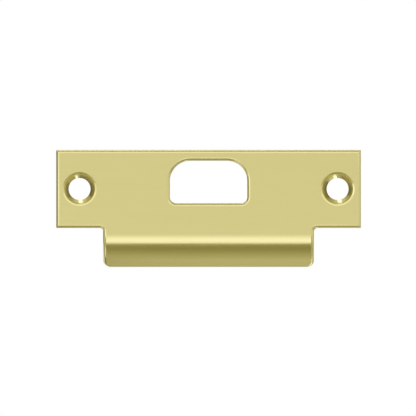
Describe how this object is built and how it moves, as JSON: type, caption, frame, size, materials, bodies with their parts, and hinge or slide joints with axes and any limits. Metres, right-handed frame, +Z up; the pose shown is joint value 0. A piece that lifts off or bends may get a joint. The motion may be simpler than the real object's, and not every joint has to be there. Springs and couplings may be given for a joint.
{
  "type": "door strike plate",
  "caption": "Flat brass door strike plate with countersunk screw holes, a rounded latch opening and a wide lip that curves back to lead the latch in.",
  "frame": {"origin": "midway between the two screw holes, on the back face that lies against the door frame", "axes": "+X along the plate's length, +Y out of the back face into the door frame, +Z up, with the lip below"},
  "size_m": [0.1238, 0.0096, 0.0476],
  "materials": {
    "polished_brass": "polished"
  },
  "bodies": {
    "root": {"strike_plate": "polished_brass"}
  },
  "joints": []
}
